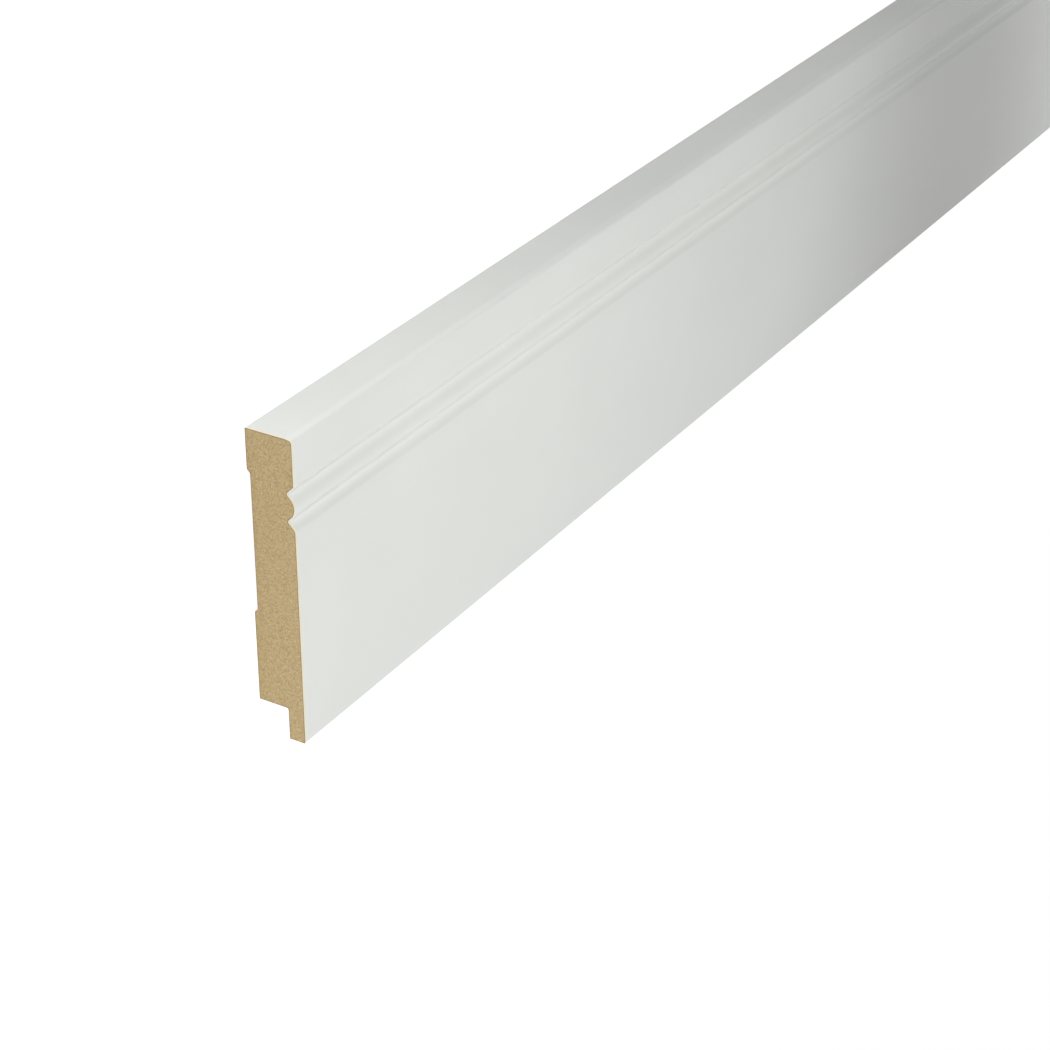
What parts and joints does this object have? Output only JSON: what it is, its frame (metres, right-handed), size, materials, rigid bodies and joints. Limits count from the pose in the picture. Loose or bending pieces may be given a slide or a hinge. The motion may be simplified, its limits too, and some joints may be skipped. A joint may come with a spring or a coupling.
{
  "type": "skirting board length",
  "caption": "Straight length of white-faced MDF skirting board with a quirked bead moulding near its top edge, a relieved back and a rebate behind its floor edge.",
  "frame": {"origin": "middle of the board's footprint, on the plane of its wall side, on which it lies", "axes": "+X along the length, +Y across the board from the floor edge to the top edge, +Z from the wall side up to the moulded face"},
  "size_m": [2.4, 0.12, 0.019],
  "materials": {
    "board": "MDF with a smooth satin white coat on the face and top edge, bare sawn ends and a bare milled back"
  },
  "bodies": {
    "root": {"skirting_board": "board"}
  },
  "joints": []
}
